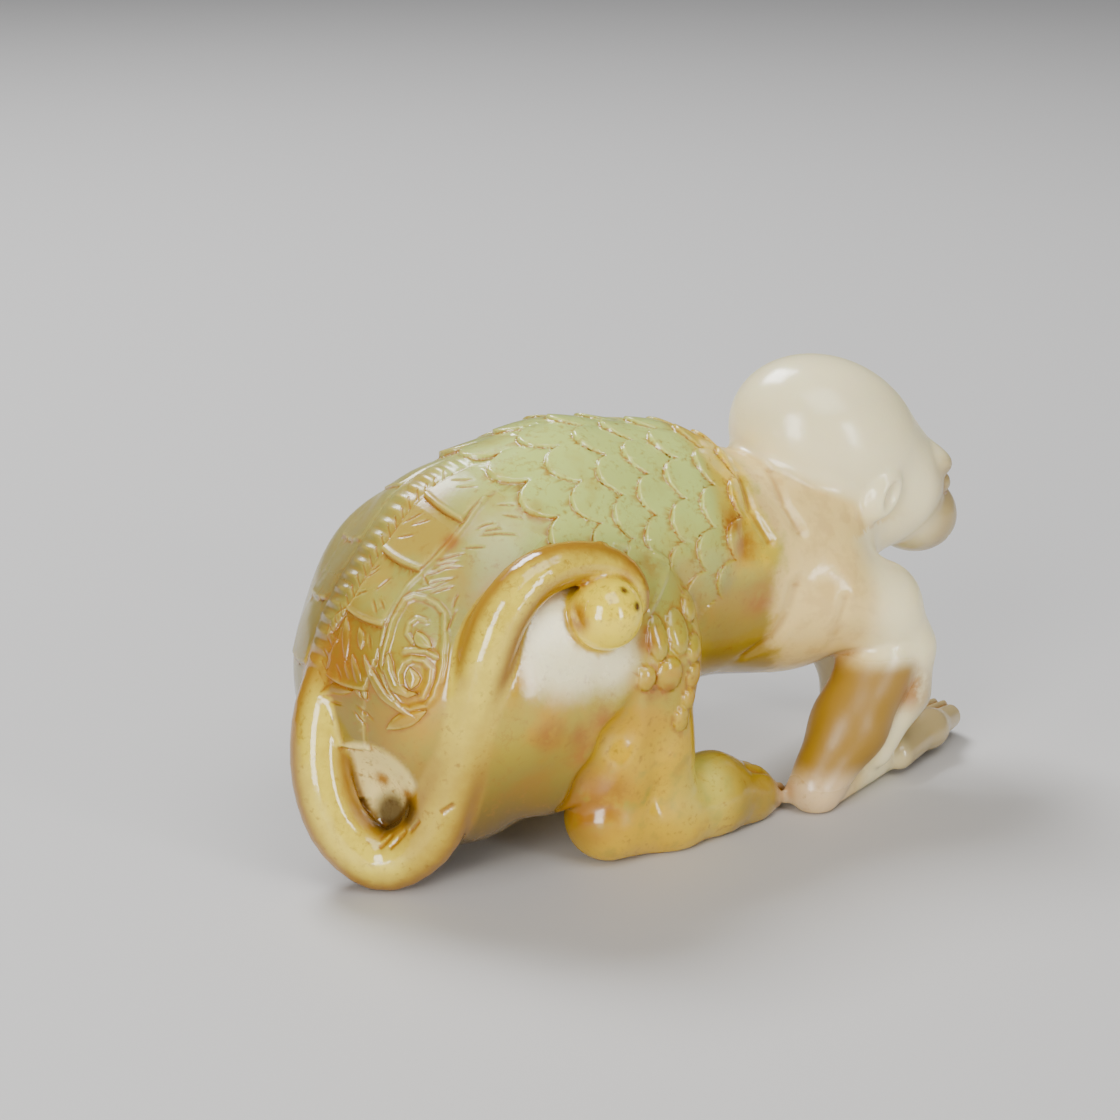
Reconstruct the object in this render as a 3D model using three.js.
// A jade carving of a crouching monkey with a scaled back, cut as one solid from a single pebble.
// Millimetres, +Z up, +X towards the head, +Y towards the animal's left.
// The form is sculpted as a field of signed distances, blended from rounded masses,
// then meshed on a grid and thinned until it keeps only the triangles that its shape needs.
import * as THREE from 'three';

// Middle of the carving's box, which becomes the origin, on the ground
const MIDDLE = { x: 7.9, y: -1.48 };

// Mesh of the whole
const TRIANGLE_BUDGET = 9600;
const GRID_STEP = 0.8;
const GRID_BLOCK = 4;
const TETRAHEDRA = [[0, 7, 1, 3], [0, 7, 3, 2], [0, 7, 2, 6], [0, 7, 6, 4], [0, 7, 4, 5], [0, 7, 5, 1]];
const EDGE_WEIGHT = 0.001;
const RELIEF_WEIGHT = 6;
const BACK_FROM = 18;
const RELIEF_DEPTH = 3;
const CERTAIN_FIT = 1e-3;
const LEAST_TURN_COSINE = 0.3;
const GRID_MIN = new THREE.Vector3(-40, -25, -3);
const GRID_MAX = new THREE.Vector3(59, 21, 52);

// Trunk, as stations along its middle: x, z, half height, half width
const TRUNK = [
  [-19.0, 20.5, 14.2, 15.6],
  [-13.0, 24.8, 17.2, 14.5],
  [-4.0, 28.0, 16.4, 12.6],
  [6.0, 28.4, 14.2, 11.8],
  [15.0, 26.6, 11.8, 11.0],
  [23.0, 24.8, 9.4, 10.0],
];
const TRUNK_BLEND = 3;
const RUMP = { centre: [-17, 0, 20], radii: [15.8, 18.4, 15] };
const SEAT = { centre: [-21, -4, 9.5], radii: [9, 9, 6.8] };
const LEFT_SWELL = { centre: [-17, 8.5, 26], radii: [11.6, 8, 11.8] };
const CHEST = { centre: [25, 0, 21.2], radii: [11, 8.5, 8.2] };

// Line of the crest from the tail root to the nape, x and z, and the depth of its section's middle
const CREST = [
  [-33.6, 17.0], [-33.2, 21.0], [-32.2, 25.0], [-30.4, 29.0], [-27.8, 32.7], [-24.2, 36.6],
  [-20.0, 39.9], [-15.0, 42.6], [-9.5, 44.4], [-4.0, 45.0], [1.5, 44.6], [7.0, 43.0],
  [12.5, 40.8], [18.0, 38.0], [24.0, 35.0],
];
const SECTION_DEPTH = 14;

// Hollow under the tail root, seen through the tail's loop
const RECESS = { centre: [-35, -8.5, 9.5], radii: [6.6, 7, 6.8] };

// Hind legs, given for one side and mirrored
const THIGH_OUTLINE = [
  [-15.5, 19.0, 13.4],
  [-6.0, 23.0, 10.6],
  [-2.0, 24.2, 6.6],
];
const THIGH_CORNER = [-0.6, 31.4, 1.2];
const THIGH_BULGE = { centre: [-9, 8.6, 21], radii: [18.5, 9.4, 18.5] };
const SHIN = [
  [-1.4, 12.2, 22.0, 6.0],
  [-0.4, 12.5, 12.4, 4.1],
  [0.6, 12.2, 6.0, 4.4],
];
const CALF = [
  [-3.4, 12.4, 18.0, 4.0],
  [-5.0, 12.5, 10.5, 3.9],
  [-5.9, 12.2, 5.0, 4.5],
];
const CALF_HOLLOW = [
  [-12.4, 15.2, 6.6, 1.4],
  [-10.4, 16.9, 10.4, 1.9],
  [-8.0, 18.2, 15.0, 2.1],
  [-6.0, 18.9, 19.4, 1.1],
];
const FOOT = [
  [-5.8, 12.2, 4.2, 4.3],
  [2.0, 12.2, 3.6, 4.1],
  [8.4, 11.2, 4.0, 4.3],
  [13.5, 10.4, 2.7, 3.1],
  [17.8, 9.6, 1.4, 1.8],
];
// All that stands on the ground is cut off flat there, with a slightly rounded edge
const SOLE = { rounding: 0.3, flatBelow: 0.12 };

// Forelegs
const SHOULDER = { centre: [24.5, 7.2, 25.0], radii: [7.2, 5.2, 8.0] };
const RIGHT_ARM = [
  [25.8, -8.0, 23.3, 6.3],
  [32.0, -9.4, 21.0, 4.9],
  [35.0, -9.8, 15.8, 4.0],
  [35.2, -10.0, 10.9, 3.3],
  [31.0, -10.8, 5.0, 2.5],
];
const RIGHT_FOREARM = [
  [32.0, -10.4, 15.0, 4.4],
  [27.0, -11.6, 8.6, 4.0],
  [21.6, -12.7, 2.7, 3.1],
];
const RIGHT_HAND = { wrist: [21.8, -12.6, 2.3], palm: [35.6, -6.5, 2.5], tip: [50.4, 0.6, 3.0] };
const LEFT_ARM = [
  [26.0, 8.0, 23.0, 6.2],
  [37.5, 10.2, 17.5, 5.2],
  [43.6, 11.0, 10.0, 3.8],
  [44.8, 11.2, 2.8, 3.0],
];
const LEFT_HAND = { wrist: [44.6, 11.2, 2.4], palm: [47.4, 10.6, 2.4], tip: [52.4, 9.0, 1.6] };
const PALM_RADIUS = 2.7;
const FINGERS = {
  count: 4, radius: 1.5, root: 1.9, spacing: 1.6, closing: 0.8, shorter: 0.7, arch: 0.3, drop: 0.5,
};

// Neck and head
const NECK = [
  [19, 0, 27.6, 9.0],
  [28, 0, 31.5, 7.8],
  [36, 0, 31.5, 7.2],
];
const HEAD_TILT = 28;
const HEAD_CENTRE = [31.7, 0, 38.4];
// Masses of the head in its own frame: forward, sideways and up from the middle of the skull
const SKULL = { centre: [0, 0, 0], radii: [12.0, 9.8, 9.2] };
const CHEEKS = { centre: [9.4, 0, -1.4], radii: [7.6, 8.0, 7.2] };
const BROW = { centre: [12.7, 2.9, 3.0], radii: [2.4, 3.5, 1.7] };
const MUZZLE = { centre: [16.0, 0, -3.0], radii: [5.0, 6.0, 4.7] };
const NOSE = { centre: [18.2, 0, -1.1], radii: [1.6, 2.0, 1.3] };
const EYE_SOCKET = { centre: [16.4, 4.1, 1.3], radii: [2.6, 2.3, 1.6] };
const EYE = { centre: [14.4, 3.6, 1.0], radii: [1.9, 1.9, 1.5] };
const EAR = { centre: [3.4, 8.6, -3.4], radii: [2.3, 1.9, 3.1] };
const EAR_HOLLOW = { centre: [4.2, 10.6, -3.3], radii: [1.4, 1.3, 2.1] };
const MOUTH = { drop: -4.6, curve: 0.045, reach: 12.5, halfWidth: 4.2, radius: 0.35 };

// Relief: heights over the polished ground, and sizes along the crest (s) and round it (w)
const CREST_BAND = { halfWidth: 1.5, height: 0.34, fadeFrom: 58, until: 63 };
const PLATES = { first: -1.9, pitch: 6.85, until: 31, inner: 2.1, height: 0.62, slope: 0.85, bow: 0.35 };
// Outer edge of the plates, as places along the crest and round it
const PLATE_EDGE = [
  [-2, 7.6], [4, 7.4], [9.2, 7.8], [12.2, 7.2], [17.3, 7.0], [20.9, 7.7], [24.8, 7.9], [29.9, 6.8],
];
// The side away from the tail is carved more lightly, and has no scroll
const FAR_SIDE_SHARE = 0.45;
const SCALES = {
  from: 26, firstRow: 2, until: 66, pitch: 6.2, shrink: 0.0009, angle: 0.36, length: 0.96, width: 0.57,
  height: 0.8, doming: 0.45, fadeFrom: 18.5, fadeTo: 27,
};
const SCROLL = { s: 10.9, w: 10.5, halfLength: 6.2, halfWidth: 3.2, line: 0.55, height: 0.55, turns: 1.2 };
const VOLUTES = [
  { s: 13.6, w: 10.6, radius: 1.5 },
  { s: 8.4, w: 11.6, radius: 1.7 },
];
// Small raised leaf scales over the knee: x, z, half length, half height
const KNEE_SCALES = [
  [-3.3, 25.4, 1.2, 2.4],
  [-0.5, 25.6, 1.5, 2.3],
  [2.3, 27.5, 1.3, 1.5],
  [1.6, 23.4, 1.4, 1.5],
  [-2.1, 21.4, 1.6, 1.9],
  [1.6, 20.5, 1.3, 1.5],
  [0.1, 15.9, 1.2, 1.4],
  [-4.9, 21.4, 1.1, 1.4],
  [1.0, 18.0, 1.1, 1.3],
];
const KNEE_SCALE = { height: 0.6, outside: 9 };

// Tail: x, y, z, radius along its middle
const TAIL = [
  [-31.0, 0.5, 22.5, 3.0],
  [-33.8, -0.6, 17.5, 3.0],
  [-34.6, -2.0, 11.0, 3.1],
  [-33.1, -3.8, 5.6, 3.2],
  [-30.0, -6.4, 2.9, 3.25],
  [-26.8, -9.4, 5.4, 3.2],
  [-25.0, -11.6, 11.4, 3.1],
  [-24.1, -13.8, 18.5, 3.0],
  [-22.9, -15.2, 25.8, 2.9],
  [-20.9, -15.7, 30.6, 2.75],
  [-17.6, -15.8, 33.6, 2.6],
  [-13.4, -15.9, 34.6, 2.35],
  [-9.9, -16.1, 34.2, 2.1],
  [-7.2, -16.6, 32.9, 1.8],
  [-5.9, -17.2, 31.0, 1.45],
  [-5.8, -17.7, 29.4, 1.1],
];
const TAIL_STEPS = 54;
const TAIL_BALL = { centre: [-10.1, -18.0, 29.4], radius: 3.85 };

// How softly each mass runs into the body before it
const BLEND = {
  rump: 4, seat: 4, swell: 2, shoulder: 4, chest: 5, neck: 4, thighOutline: 3, thighCorner: 5,
  thighEdge: 3.5, thigh: 0.8, recess: 1.2, shin: 1, leg: 1.5, hollow: 1, forearm: 0.6, rightArm: 1.6,
  fingers: 0.5, leftHand: 1.5, leftArm: 2, cheeks: 2.5, brow: 1.2, socket: 0.9, muzzle: 1, nose: 0.6,
  eye: 0.25, mouth: 0.4, ear: 0.8, earHollow: 0.6, head: 1.5, tail: 0.8, ball: 0.5,
};

const clamp = (value, low, high) => Math.min(Math.max(value, low), high);
const mix = (a, b, t) => a + (b - a) * t;

function smoothMin(a, b, blend) {
  const overlap = Math.max(blend - Math.abs(a - b), 0) / blend;
  return Math.min(a, b) - overlap * overlap * blend / 4;
}

const smoothMax = (a, b, blend) => -smoothMin(-a, -b, blend);

// Distance to an ellipsoid whose long axis can be tilted nose down, in degrees
function ellipsoid({ centre, radii, tilt = 0 }) {
  const cos = Math.cos(THREE.MathUtils.degToRad(tilt));
  const sin = Math.sin(THREE.MathUtils.degToRad(tilt));
  const [rx, ry, rz] = radii;
  const smallest = Math.min(rx, ry, rz);
  return (x, y, z) => {
    const dx = x - centre[0];
    const dz = z - centre[2];
    const a = (cos * dx - sin * dz) / rx;
    const b = (y - centre[1]) / ry;
    const c = (sin * dx + cos * dz) / rz;
    const near = Math.sqrt(a * a + b * b + c * c);
    const slope = Math.sqrt((a * a) / (rx * rx) + (b * b) / (ry * ry) + (c * c) / (rz * rz));
    return slope > 0 ? near * (near - 1) / slope : -smallest;
  };
}

// Distance to a limb of round section through stations of x, y, z, radius
function limb(stations, blend = 2) {
  return (x, y, z) => {
    let best = Infinity;
    for (let i = 1; i < stations.length; i += 1) {
      const [ax, ay, az, ar] = stations[i - 1];
      const [bx, by, bz, br] = stations[i];
      const ux = bx - ax;
      const uy = by - ay;
      const uz = bz - az;
      const px = x - ax;
      const py = y - ay;
      const pz = z - az;
      const t = clamp((px * ux + py * uy + pz * uz) / (ux * ux + uy * uy + uz * uz), 0, 1);
      const qx = px - ux * t;
      const qy = py - uy * t;
      const qz = pz - uz * t;
      const reach = Math.sqrt(qx * qx + qy * qy + qz * qz) - mix(ar, br, t);
      best = best === Infinity ? reach : smoothMin(best, reach, blend);
    }
    return best;
  };
}

// A smooth curve through stations, with the radius carried along
function smoothStations(stations, count) {
  const curve = new THREE.CatmullRomCurve3(
    stations.map(([x, y, z]) => new THREE.Vector3(x, y, z)), false, 'centripetal');
  const last = stations.length - 1;
  return Array.from({ length: count + 1 }, (_, i) => {
    const t = i / count;
    const place = curve.getPoint(t);
    const from = Math.min(Math.floor(t * last), last - 1);
    return [place.x, place.y, place.z, mix(stations[from][3], stations[from + 1][3], t * last - from)];
  });
}

// Distance to the trunk, an oval section carried along a bent middle line in the XZ plane
function trunk(x, y, z) {
  let best = Infinity;
  for (let i = 1; i < TRUNK.length; i += 1) {
    const [ax, az, ah, aw] = TRUNK[i - 1];
    const [bx, bz, bh, bw] = TRUNK[i];
    const ux = bx - ax;
    const uz = bz - az;
    const t = clamp(((x - ax) * ux + (z - az) * uz) / (ux * ux + uz * uz), 0, 1);
    const height = mix(ah, bh, t);
    const width = mix(aw, bw, t);
    const qx = x - ax - ux * t;
    const qz = z - az - uz * t;
    const a = Math.sqrt(qx * qx + qz * qz) / height;
    const b = y / width;
    const near = Math.sqrt(a * a + b * b);
    const slope = Math.sqrt((a * a) / (height * height) + (b * b) / (width * width));
    const reach = slope > 0 ? near * (near - 1) / slope : -width;
    best = best === Infinity ? reach : smoothMin(best, reach, TRUNK_BLEND);
  }
  return best;
}

const rump = ellipsoid(RUMP);
const seat = ellipsoid(SEAT);
const leftSwell = ellipsoid(LEFT_SWELL);
const thighBulge = ellipsoid(THIGH_BULGE);
const shin = limb(SHIN);
const calf = limb(CALF);
const calfHollow = limb(CALF_HOLLOW);
const rightForearm = limb(RIGHT_FOREARM);
const foot = limb(FOOT);
const shoulder = ellipsoid(SHOULDER);
const rightArm = limb(RIGHT_ARM);
const leftArm = limb(LEFT_ARM);
const chest = ellipsoid(CHEST);
const neck = limb(NECK);
const skull = ellipsoid(SKULL);
const cheeks = ellipsoid(CHEEKS);
const brow = ellipsoid(BROW);
const muzzle = ellipsoid(MUZZLE);
const nose = ellipsoid(NOSE);
const eyeSocket = ellipsoid(EYE_SOCKET);
const eye = ellipsoid(EYE);
const ear = ellipsoid(EAR);
const earHollow = ellipsoid(EAR_HOLLOW);
const HEAD_COS = Math.cos(THREE.MathUtils.degToRad(HEAD_TILT));
const HEAD_SIN = Math.sin(THREE.MathUtils.degToRad(HEAD_TILT));
const recess = ellipsoid(RECESS);
const tail = limb(smoothStations(TAIL, TAIL_STEPS), 0.01);

// The thigh is a rounded slab that lies against the flank, with a pointed corner at its top
function thigh(x, y, z) {
  let outline = Infinity;
  for (const [cx, cz, radius] of THIGH_OUTLINE) {
    const reach = Math.hypot(x - cx, z - cz) - radius;
    outline = outline === Infinity ? reach : smoothMin(outline, reach, BLEND.thighOutline);
  }
  const [tipX, tipZ, tipRadius] = THIGH_CORNER;
  outline = smoothMin(outline, Math.hypot(x - tipX, z - tipZ) - tipRadius, BLEND.thighCorner);
  return smoothMax(outline, thighBulge(x, y, z), BLEND.thighEdge);
}

// A hand lies flat: a palm that parts into fingers, which close a little towards their tips
function hand({ wrist, palm, tip }) {
  const forward = new THREE.Vector2(tip[0] - wrist[0], tip[1] - wrist[1]).normalize();
  const parts = [limb([[...wrist, PALM_RADIUS], [...palm, PALM_RADIUS]])];
  for (let finger = 0; finger < FINGERS.count; finger += 1) {
    const offset = (finger - (FINGERS.count - 1) / 2) * FINGERS.spacing;
    const station = (share, closing, back, lift, radius) => [
      mix(palm[0], tip[0], share) - forward.y * offset * closing - forward.x * back,
      mix(palm[1], tip[1], share) + forward.x * offset * closing - forward.y * back,
      mix(palm[2], tip[2], share) + lift,
      radius,
    ];
    parts.push(limb([
      station(0, 1, 0, 0, FINGERS.root),
      station(0.5, 1, 0, FINGERS.arch, FINGERS.root),
      station(1, FINGERS.closing, Math.abs(offset) * FINGERS.shorter, -FINGERS.drop, FINGERS.radius),
    ]));
  }
  return (x, y, z) => parts.reduce((nearest, part) => smoothMin(nearest, part(x, y, z), BLEND.fingers), 1e3);
}

const rightHand = hand(RIGHT_HAND);
const leftHand = hand(LEFT_HAND);

// The crest line with its directions and its arc length (s) at each point
const CREST_LINE = CREST.map(([x, z], i) => {
  const [fromX, fromZ] = CREST[Math.max(i - 1, 0)];
  const [toX, toZ] = CREST[Math.min(i + 1, CREST.length - 1)];
  const length = Math.hypot(toX - fromX, toZ - fromZ);
  return { x, z, tx: (toX - fromX) / length, tz: (toZ - fromZ) / length, s: 0 };
});
for (let i = 1; i < CREST_LINE.length; i += 1) {
  const [before, station] = [CREST_LINE[i - 1], CREST_LINE[i]];
  station.s = before.s + Math.hypot(station.x - before.x, station.z - before.z);
}

// Place of a point along the crest line (s), round it (w) and out from it
function crestPlace(x, side, z) {
  const count = CREST_LINE.length;
  let low = 0;
  for (let i = 1; i < count - 1; i += 1) {
    const { x: cx, z: cz, tx, tz } = CREST_LINE[i];
    if ((x - cx) * tx + (z - cz) * tz >= 0) low = i;
  }
  const a = CREST_LINE[low];
  const b = CREST_LINE[low + 1];
  const before = (x - a.x) * a.tx + (z - a.z) * a.tz;
  const after = (x - b.x) * b.tx + (z - b.z) * b.tz;
  const t = before - after > 1e-6 ? before / (before - after) : 0;
  const out = (x - mix(a.x, b.x, t)) * -mix(a.tz, b.tz, t) + (z - mix(a.z, b.z, t)) * mix(a.tx, b.tx, t);
  const angle = Math.atan2(side, SECTION_DEPTH + out);
  return { s: mix(a.s, b.s, t), angle, w: angle * SECTION_DEPTH };
}

// A raised band along the crest line
function crestHeight(s, w) {
  const fade = 1 - THREE.MathUtils.smoothstep(s, CREST_BAND.fadeFrom, CREST_BAND.until);
  return CREST_BAND.height * fade * Math.exp(-((w / CREST_BAND.halfWidth) ** 2));
}

// Value at a place along a line of straight pieces
function alongLine(line, place) {
  const next = clamp(line.findIndex(([start]) => start > place), 1, line.length - 1);
  const [[fromPlace, fromValue], [toPlace, toValue]] = [line[next - 1], line[next]];
  return mix(fromValue, toValue, clamp((place - fromPlace) / (toPlace - fromPlace), 0, 1));
}

// Plates beside the crest, each lapping over the next one towards the tail
function plateHeight(s, w) {
  const across = (w - PLATES.inner) / (alongLine(PLATE_EDGE, s) - PLATES.inner) * 2 - 1;
  if (Math.abs(across) >= 1 || s > PLATES.until) return 0;
  const place = (s - PLATES.first - PLATES.bow * across * across) / PLATES.pitch;
  const done = place - Math.floor(place);
  return PLATES.height * (1 - PLATES.slope * done) * (1 - across ** 8);
}

// Overlapping scales whose free edges point to the tail; rows shrink towards the neck
function scaleHeight(s, angle, w) {
  const along = (s - SCALES.from) / SCALES.pitch + SCALES.shrink * (s - SCALES.from) ** 2;
  const round = angle / SCALES.angle;
  const firstRow = Math.max(SCALES.firstRow, along - SCALES.length);
  for (let row = Math.ceil(along + SCALES.length); row >= firstRow; row -= 1) {
    const shift = row % 2 === 0 ? 0 : 0.5;
    const column = Math.round(round - shift) + shift;
    const ahead = (along - row) / SCALES.length;
    const across = (round - column) / SCALES.width;
    if (ahead * ahead + across * across < 1) {
      const lifted = clamp(0.5 - ahead / 2, 0, 1) * (1 - SCALES.doming * across * across);
      const fade = THREE.MathUtils.smoothstep(w, SCALES.fadeFrom, SCALES.fadeTo);
      return SCALES.height * lifted * (1 - fade);
    }
  }
  return 0;
}

// A raised oval line with two curls in it
function scrollHeight(s, w) {
  const ds = (s - SCROLL.s) / SCROLL.halfLength;
  const dw = (w - SCROLL.w) / SCROLL.halfWidth;
  let gap = Math.abs(Math.hypot(ds, dw) - 1) * SCROLL.halfWidth;
  for (const volute of VOLUTES) {
    const du = s - volute.s;
    const dv = w - volute.w;
    const turn = Math.atan2(du, dv) / (2 * Math.PI);
    const ring = Math.hypot(du, dv) / volute.radius;
    const curl = ring - turn;
    const beyond = Math.max(ring - SCROLL.turns, 0) * SCROLL.halfLength;
    gap = Math.min(gap, Math.abs(curl - Math.round(curl)) * volute.radius + beyond);
  }
  return SCROLL.height * Math.exp(-((gap / SCROLL.line) ** 2));
}

function kneeHeight(x, side, z) {
  let height = 0;
  for (const [scaleX, scaleZ, halfLength, halfHeight] of KNEE_SCALES) {
    const off = ((x - scaleX) / halfLength) ** 2 + ((z - scaleZ) / halfHeight) ** 2;
    if (off < 1) height = Math.max(height, KNEE_SCALE.height * Math.sqrt(1 - off));
  }
  return side > KNEE_SCALE.outside ? height : 0;
}

// Height of the carving over the plain body
function relief(x, y, z) {
  const { s, angle, w } = crestPlace(x, Math.abs(y), z);
  const share = y > 0 ? FAR_SIDE_SHARE : 1;
  let height = Math.max(crestHeight(s, w), plateHeight(s, w) * share);
  if (y < 0 && Math.hypot(s - SCROLL.s, w - SCROLL.w) < SCROLL.halfLength * 1.5) {
    height = Math.max(height, scrollHeight(s, w));
  }
  if (s > SCALES.from && s < SCALES.until) height = Math.max(height, scaleHeight(s, angle, w));
  return height;
}

function head(x, y, z) {
  const dx = x - HEAD_CENTRE[0];
  const dz = z - HEAD_CENTRE[2];
  const ahead = HEAD_COS * dx - HEAD_SIN * dz;
  const up = HEAD_SIN * dx + HEAD_COS * dz;
  const side = Math.abs(y);
  let shape = smoothMin(skull(ahead, y, up), cheeks(ahead, y, up), BLEND.cheeks);
  shape = smoothMin(shape, brow(ahead, side, up), BLEND.brow);
  shape = smoothMax(shape, -eyeSocket(ahead, side, up), BLEND.socket);
  shape = smoothMin(shape, muzzle(ahead, y, up), BLEND.muzzle);
  shape = smoothMin(shape, nose(ahead, y, up), BLEND.nose);
  shape = smoothMin(shape, eye(ahead, side, up), BLEND.eye);
  const lip = Math.abs(up - MOUTH.drop - MOUTH.curve * y * y) - MOUTH.radius;
  const mouth = Math.max(lip, -shape - 2 * MOUTH.radius, MOUTH.reach - ahead, side - MOUTH.halfWidth);
  shape = smoothMax(shape, -mouth, BLEND.mouth);
  shape = smoothMin(shape, ear(ahead, side, up), BLEND.ear);
  return smoothMax(shape, -earHollow(ahead, side, up), BLEND.earHollow);
}

function carving(x, y, z) {
  const side = Math.abs(y);
  let body = smoothMin(trunk(x, y, z), rump(x, y, z), BLEND.rump);
  body = smoothMin(body, seat(x, y, z), BLEND.seat);
  body = smoothMin(body, leftSwell(x, y, z), BLEND.swell);
  body = smoothMin(body, shoulder(x, side, z), BLEND.shoulder);
  body = smoothMin(body, chest(x, y, z), BLEND.chest);
  body = smoothMin(body, neck(x, y, z), BLEND.neck);
  if (Math.abs(body) < RELIEF_DEPTH) body -= relief(x, y, z);
  body = smoothMin(body, thigh(x, side, z), BLEND.thigh);
  body = smoothMax(body, -recess(x, y, z), BLEND.recess);
  let leg = smoothMin(shin(x, side, z), calf(x, side, z), BLEND.shin);
  leg = smoothMin(leg, foot(x, side, z), BLEND.shin);
  body = smoothMin(body, leg, BLEND.leg);
  body = smoothMax(body, -calfHollow(x, side, z), BLEND.hollow) - kneeHeight(x, side, z);
  const arm = smoothMin(rightArm(x, y, z), rightForearm(x, y, z), BLEND.forearm);
  body = smoothMin(body, smoothMin(arm, rightHand(x, y, z), BLEND.forearm), BLEND.rightArm);
  body = smoothMin(body, smoothMin(leftArm(x, y, z), leftHand(x, y, z), BLEND.leftHand), BLEND.leftArm);
  body = smoothMin(body, head(x, y, z), BLEND.head);
  body = smoothMin(body, tail(x, y, z), BLEND.tail);
  const ball = Math.hypot(x - TAIL_BALL.centre[0], y - TAIL_BALL.centre[1], z - TAIL_BALL.centre[2]);
  body = smoothMin(body, ball - TAIL_BALL.radius, BLEND.ball);
  return smoothMax(body, -z, SOLE.rounding);
}

// Samples the field on a grid, only filling in the blocks that the surface can pass through
function sampleField(field) {
  const [nx, ny, nz] = GRID_MAX.clone().sub(GRID_MIN).divideScalar(GRID_STEP).ceil().toArray();
  const values = new Float32Array(nx * ny * nz);
  const least = GRID_STEP * 0.04;
  const at = (i, j, k) => {
    const value = field(GRID_MIN.x + i * GRID_STEP, GRID_MIN.y + j * GRID_STEP, GRID_MIN.z + k * GRID_STEP);
    return value < 0 ? Math.min(value, -least) : Math.max(value, least);
  };
  const half = (GRID_BLOCK - 1) / 2;
  const farAway = Math.sqrt(3) * GRID_BLOCK * GRID_STEP;
  for (let bk = 0; bk < nz; bk += GRID_BLOCK) {
    for (let bj = 0; bj < ny; bj += GRID_BLOCK) {
      for (let bi = 0; bi < nx; bi += GRID_BLOCK) {
        const middle = at(bi + half, bj + half, bk + half);
        const near = Math.abs(middle) < farAway;
        for (let k = bk; k < Math.min(bk + GRID_BLOCK, nz); k += 1) {
          for (let j = bj; j < Math.min(bj + GRID_BLOCK, ny); j += 1) {
            for (let i = bi; i < Math.min(bi + GRID_BLOCK, nx); i += 1) {
              values[(k * ny + j) * nx + i] = near ? at(i, j, k) : middle;
            }
          }
        }
      }
    }
  }
  return { values, nx, ny, nz };
}

// Closed mesh of the field's zero surface: each grid cube is split into six tetrahedra round its
// long diagonal, and the surface cuts each one in a triangle or in two
function meshField(field) {
  const { values, nx, ny, nz } = sampleField(field);
  const corners = Array.from({ length: 8 }, (_, bits) => (
    (bits & 1) + ((bits >> 1) & 1) * nx + (bits >> 2) * nx * ny));
  const points = [];
  const triangles = [];
  const vertexOfEdge = new Map();
  const placeOf = (node) => new THREE.Vector3(
    node % nx, Math.floor(node / nx) % ny, Math.floor(node / (nx * ny)));
  const crossing = (a, b) => {
    const [low, high] = a < b ? [a, b] : [b, a];
    const key = low * 8 + corners.indexOf(high - low);
    if (!vertexOfEdge.has(key)) {
      vertexOfEdge.set(key, points.length);
      const share = values[low] / (values[low] - values[high]);
      points.push(placeOf(low).lerp(placeOf(high), share).multiplyScalar(GRID_STEP).add(GRID_MIN));
    }
    return vertexOfEdge.get(key);
  };
  const addTriangle = (ring, outward) => {
    const [a, b, c] = ring.map((vertex) => points[vertex]);
    const normal = new THREE.Vector3().crossVectors(b.clone().sub(a), c.clone().sub(a));
    triangles.push(normal.dot(outward) > 0 ? ring : [ring[0], ring[2], ring[1]]);
  };
  for (let k = 0; k < nz - 1; k += 1) {
    for (let j = 0; j < ny - 1; j += 1) {
      for (let i = 0; i < nx - 1; i += 1) {
        const cube = (k * ny + j) * nx + i;
        const insideCount = corners.filter((offset) => values[cube + offset] < 0).length;
        if (insideCount === 0 || insideCount === 8) continue;
        for (const tetrahedron of TETRAHEDRA) {
          const nodes = tetrahedron.map((bits) => cube + corners[bits]);
          const inside = nodes.filter((node) => values[node] < 0);
          const outside = nodes.filter((node) => values[node] >= 0);
          if (inside.length === 0 || outside.length === 0) continue;
          const outward = placeOf(outside[0]).sub(placeOf(inside[0]));
          if (inside.length === 2) {
            const ring = [
              crossing(inside[0], outside[0]), crossing(inside[0], outside[1]),
              crossing(inside[1], outside[1]), crossing(inside[1], outside[0]),
            ];
            addTriangle([ring[0], ring[1], ring[2]], outward);
            addTriangle([ring[0], ring[2], ring[3]], outward);
          } else {
            addTriangle(inside.flatMap((a) => outside.map((b) => crossing(a, b))), outward);
          }
        }
      }
    }
  }
  return { points, triangles };
}

// Sum of squared distances to the planes of a vertex's triangles, as ten coefficients
function planeQuadric(a, b, c) {
  const normal = new THREE.Vector3().crossVectors(b.clone().sub(a), c.clone().sub(a));
  const area = normal.length();
  if (area === 0) return new Array(10).fill(0);
  normal.divideScalar(area);
  const { x, y, z } = normal;
  const w = -normal.dot(a);
  return [x * x, x * y, x * z, x * w, y * y, y * z, y * w, z * z, z * w, w * w].map((term) => term * area);
}

function quadricError(q, { x, y, z }) {
  return q[0] * x * x + 2 * q[1] * x * y + 2 * q[2] * x * z + 2 * q[3] * x
    + q[4] * y * y + 2 * q[5] * y * z + 2 * q[6] * y + q[7] * z * z + 2 * q[8] * z + q[9];
}

// The point that fits a quadric best, or the best of the given points where that isn't certain
function bestPoint(q, candidates) {
  const matrix = new THREE.Matrix3().set(q[0], q[1], q[2], q[1], q[4], q[5], q[2], q[5], q[7]);
  const scale = (q[0] + q[4] + q[7]) / 3;
  if (Math.abs(matrix.determinant()) > CERTAIN_FIT * scale ** 3) {
    const point = new THREE.Vector3(-q[3], -q[6], -q[8]).applyMatrix3(matrix.invert());
    if (point.distanceTo(candidates[2]) < 2 * GRID_STEP) return point;
  }
  return candidates.reduce((best, point) => (quadricError(q, point) < quadricError(q, best) ? point : best));
}

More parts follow.
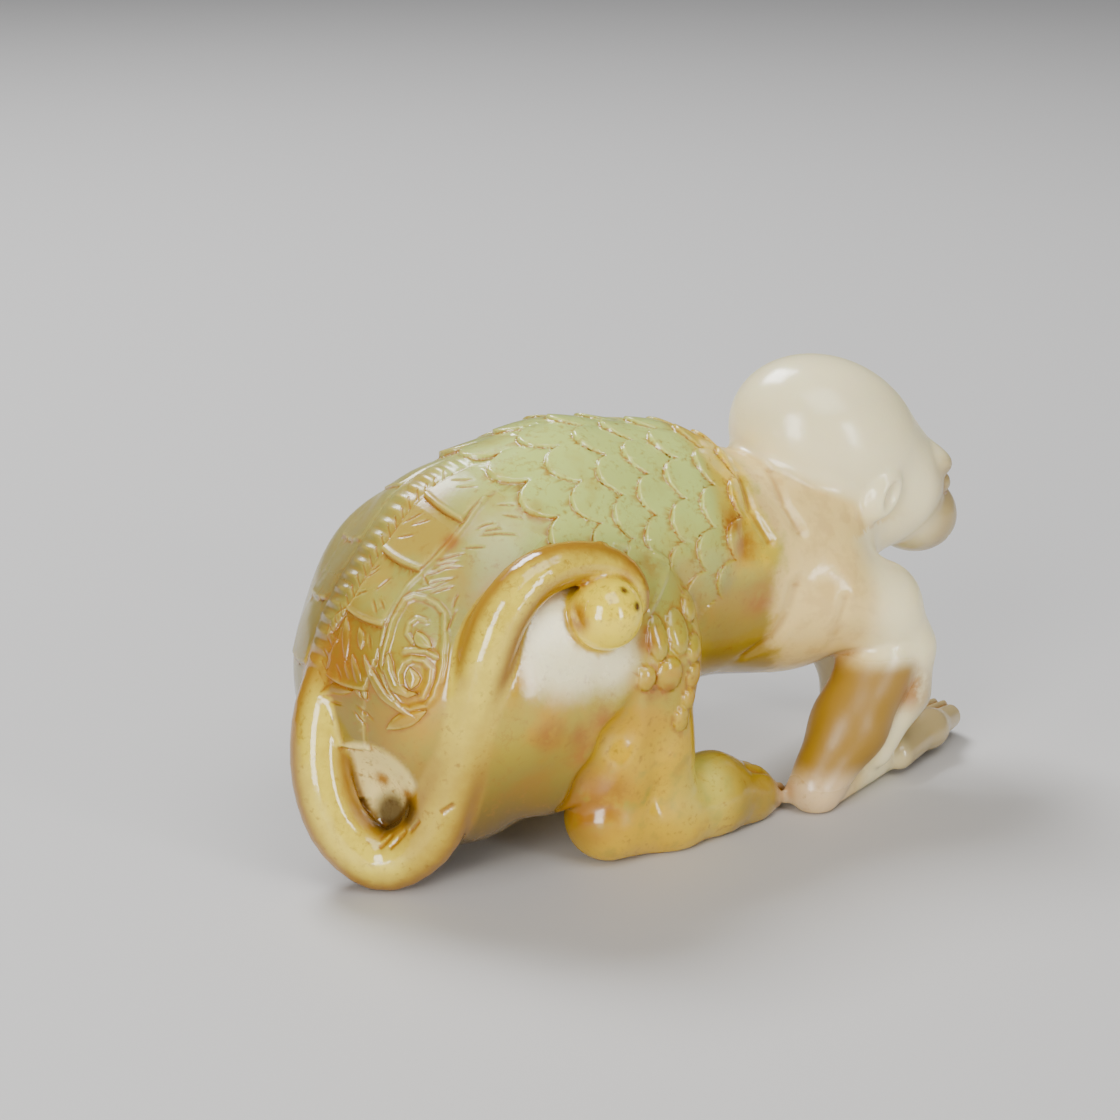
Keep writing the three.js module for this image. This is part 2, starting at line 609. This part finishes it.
// Carved places keep more triangles than smooth ones
function importance({ x, y, z }) {
  const onBack = z > BACK_FROM && Math.abs(trunk(x, y, z)) < RELIEF_DEPTH;
  return onBack && relief(x, y, z) > 0 ? RELIEF_WEIGHT : 1;
}

// Thins a closed mesh by joining the ends of its least telling edges, one at a time
function thin(points, triangles, budget) {
  const quadrics = points.map(() => new Array(10).fill(0));
  const fans = points.map(() => new Set());
  triangles.forEach((corners, t) => {
    const weight = Math.max(...corners.map((corner) => importance(points[corner])));
    const quadric = planeQuadric(...corners.map((corner) => points[corner])).map((term) => term * weight);
    for (const corner of corners) {
      fans[corner].add(t);
      quadric.forEach((term, i) => { quadrics[corner][i] += term; });
    }
  });
  const version = points.map(() => 0);
  const heap = [];
  const lift = (entry) => {
    let child = heap.push(entry) - 1;
    while (child > 0) {
      const parent = (child - 1) >> 1;
      if (heap[parent].cost <= heap[child].cost) break;
      [heap[parent], heap[child]] = [heap[child], heap[parent]];
      child = parent;
    }
  };
  const drop = () => {
    const top = heap[0];
    const last = heap.pop();
    if (heap.length > 0) {
      heap[0] = last;
      let parent = 0;
      while (2 * parent + 1 < heap.length) {
        let child = 2 * parent + 1;
        if (child + 1 < heap.length && heap[child + 1].cost < heap[child].cost) child += 1;
        if (heap[parent].cost <= heap[child].cost) break;
        [heap[parent], heap[child]] = [heap[child], heap[parent]];
        parent = child;
      }
    }
    return top;
  };
  const propose = (a, b) => {
    const q = quadrics[a].map((term, i) => term + quadrics[b][i]);
    const middle = points[a].clone().lerp(points[b], 0.5);
    const target = bestPoint(q, [points[a], points[b], middle]);
    const cost = quadricError(q, target) + EDGE_WEIGHT * points[a].distanceToSquared(points[b]);
    lift({ cost, a, b, target, stamp: version[a] + version[b] });
  };
  const ring = (vertex) => {
    const around = new Set();
    for (const t of fans[vertex]) triangles[t].forEach((corner) => around.add(corner));
    around.delete(vertex);
    return around;
  };
  const turnsOver = (vertex, other, target) => [...fans[vertex]].some((t) => {
    if (triangles[t].includes(other)) return false;
    const before = triangles[t].map((corner) => points[corner]);
    const after = triangles[t].map((corner) => (corner === vertex ? target : points[corner]));
    const oldNormal = new THREE.Triangle(...before).getNormal(new THREE.Vector3());
    const newNormal = new THREE.Triangle(...after).getNormal(new THREE.Vector3());
    return oldNormal.dot(newNormal) < LEAST_TURN_COSINE;
  });
  triangles.forEach(([a, b, c]) => {
    if (a < b) propose(a, b);
    if (b < c) propose(b, c);
    if (c < a) propose(c, a);
  });
  let alive = triangles.length;
  while (alive > budget && heap.length > 0) {
    const { a, b, target, stamp } = drop();
    if (!fans[a] || !fans[b] || stamp !== version[a] + version[b]) continue;
    const shared = [...ring(a)].filter((vertex) => ring(b).has(vertex));
    if (shared.length !== 2 || turnsOver(a, b, target) || turnsOver(b, a, target)) continue;
    points[a] = target;
    quadrics[a] = quadrics[a].map((term, i) => term + quadrics[b][i]);
    for (const t of fans[b]) {
      if (triangles[t].includes(a)) {
        triangles[t].forEach((corner) => { if (corner !== b) fans[corner].delete(t); });
        triangles[t] = [];
        alive -= 1;
      } else {
        triangles[t] = triangles[t].map((corner) => (corner === b ? a : corner));
        fans[a].add(t);
      }
    }
    fans[b] = null;
    version[a] += version[b] + 1;
    for (const other of ring(a)) propose(Math.min(a, other), Math.max(a, other));
  }
  return triangles.filter((corners) => corners.length === 3);
}

// What is nearly on the ground is set exactly on it
function setDown(points) {
  for (const point of points) {
    if (point.z < SOLE.flatBelow) point.z = 0;
  }
}

const { points, triangles } = meshField(carving);
setDown(points);
const thinned = thin(points, triangles, TRIANGLE_BUDGET);
setDown(points);

const geometry = new THREE.BufferGeometry();
geometry.setAttribute('position', new THREE.Float32BufferAttribute(points.flatMap((p) => p.toArray()), 3));
geometry.setIndex(thinned.flat());

const jade = new THREE.MeshStandardMaterial({ color: 0xa8a45c, roughness: 0.22, metalness: 0 });
const monkey = new THREE.Mesh(geometry, jade);
monkey.name = 'monkey';
monkey.position.set(-MIDDLE.x, -MIDDLE.y, 0);

const carvingGroup = new THREE.Group();
carvingGroup.add(monkey);

export default carvingGroup;
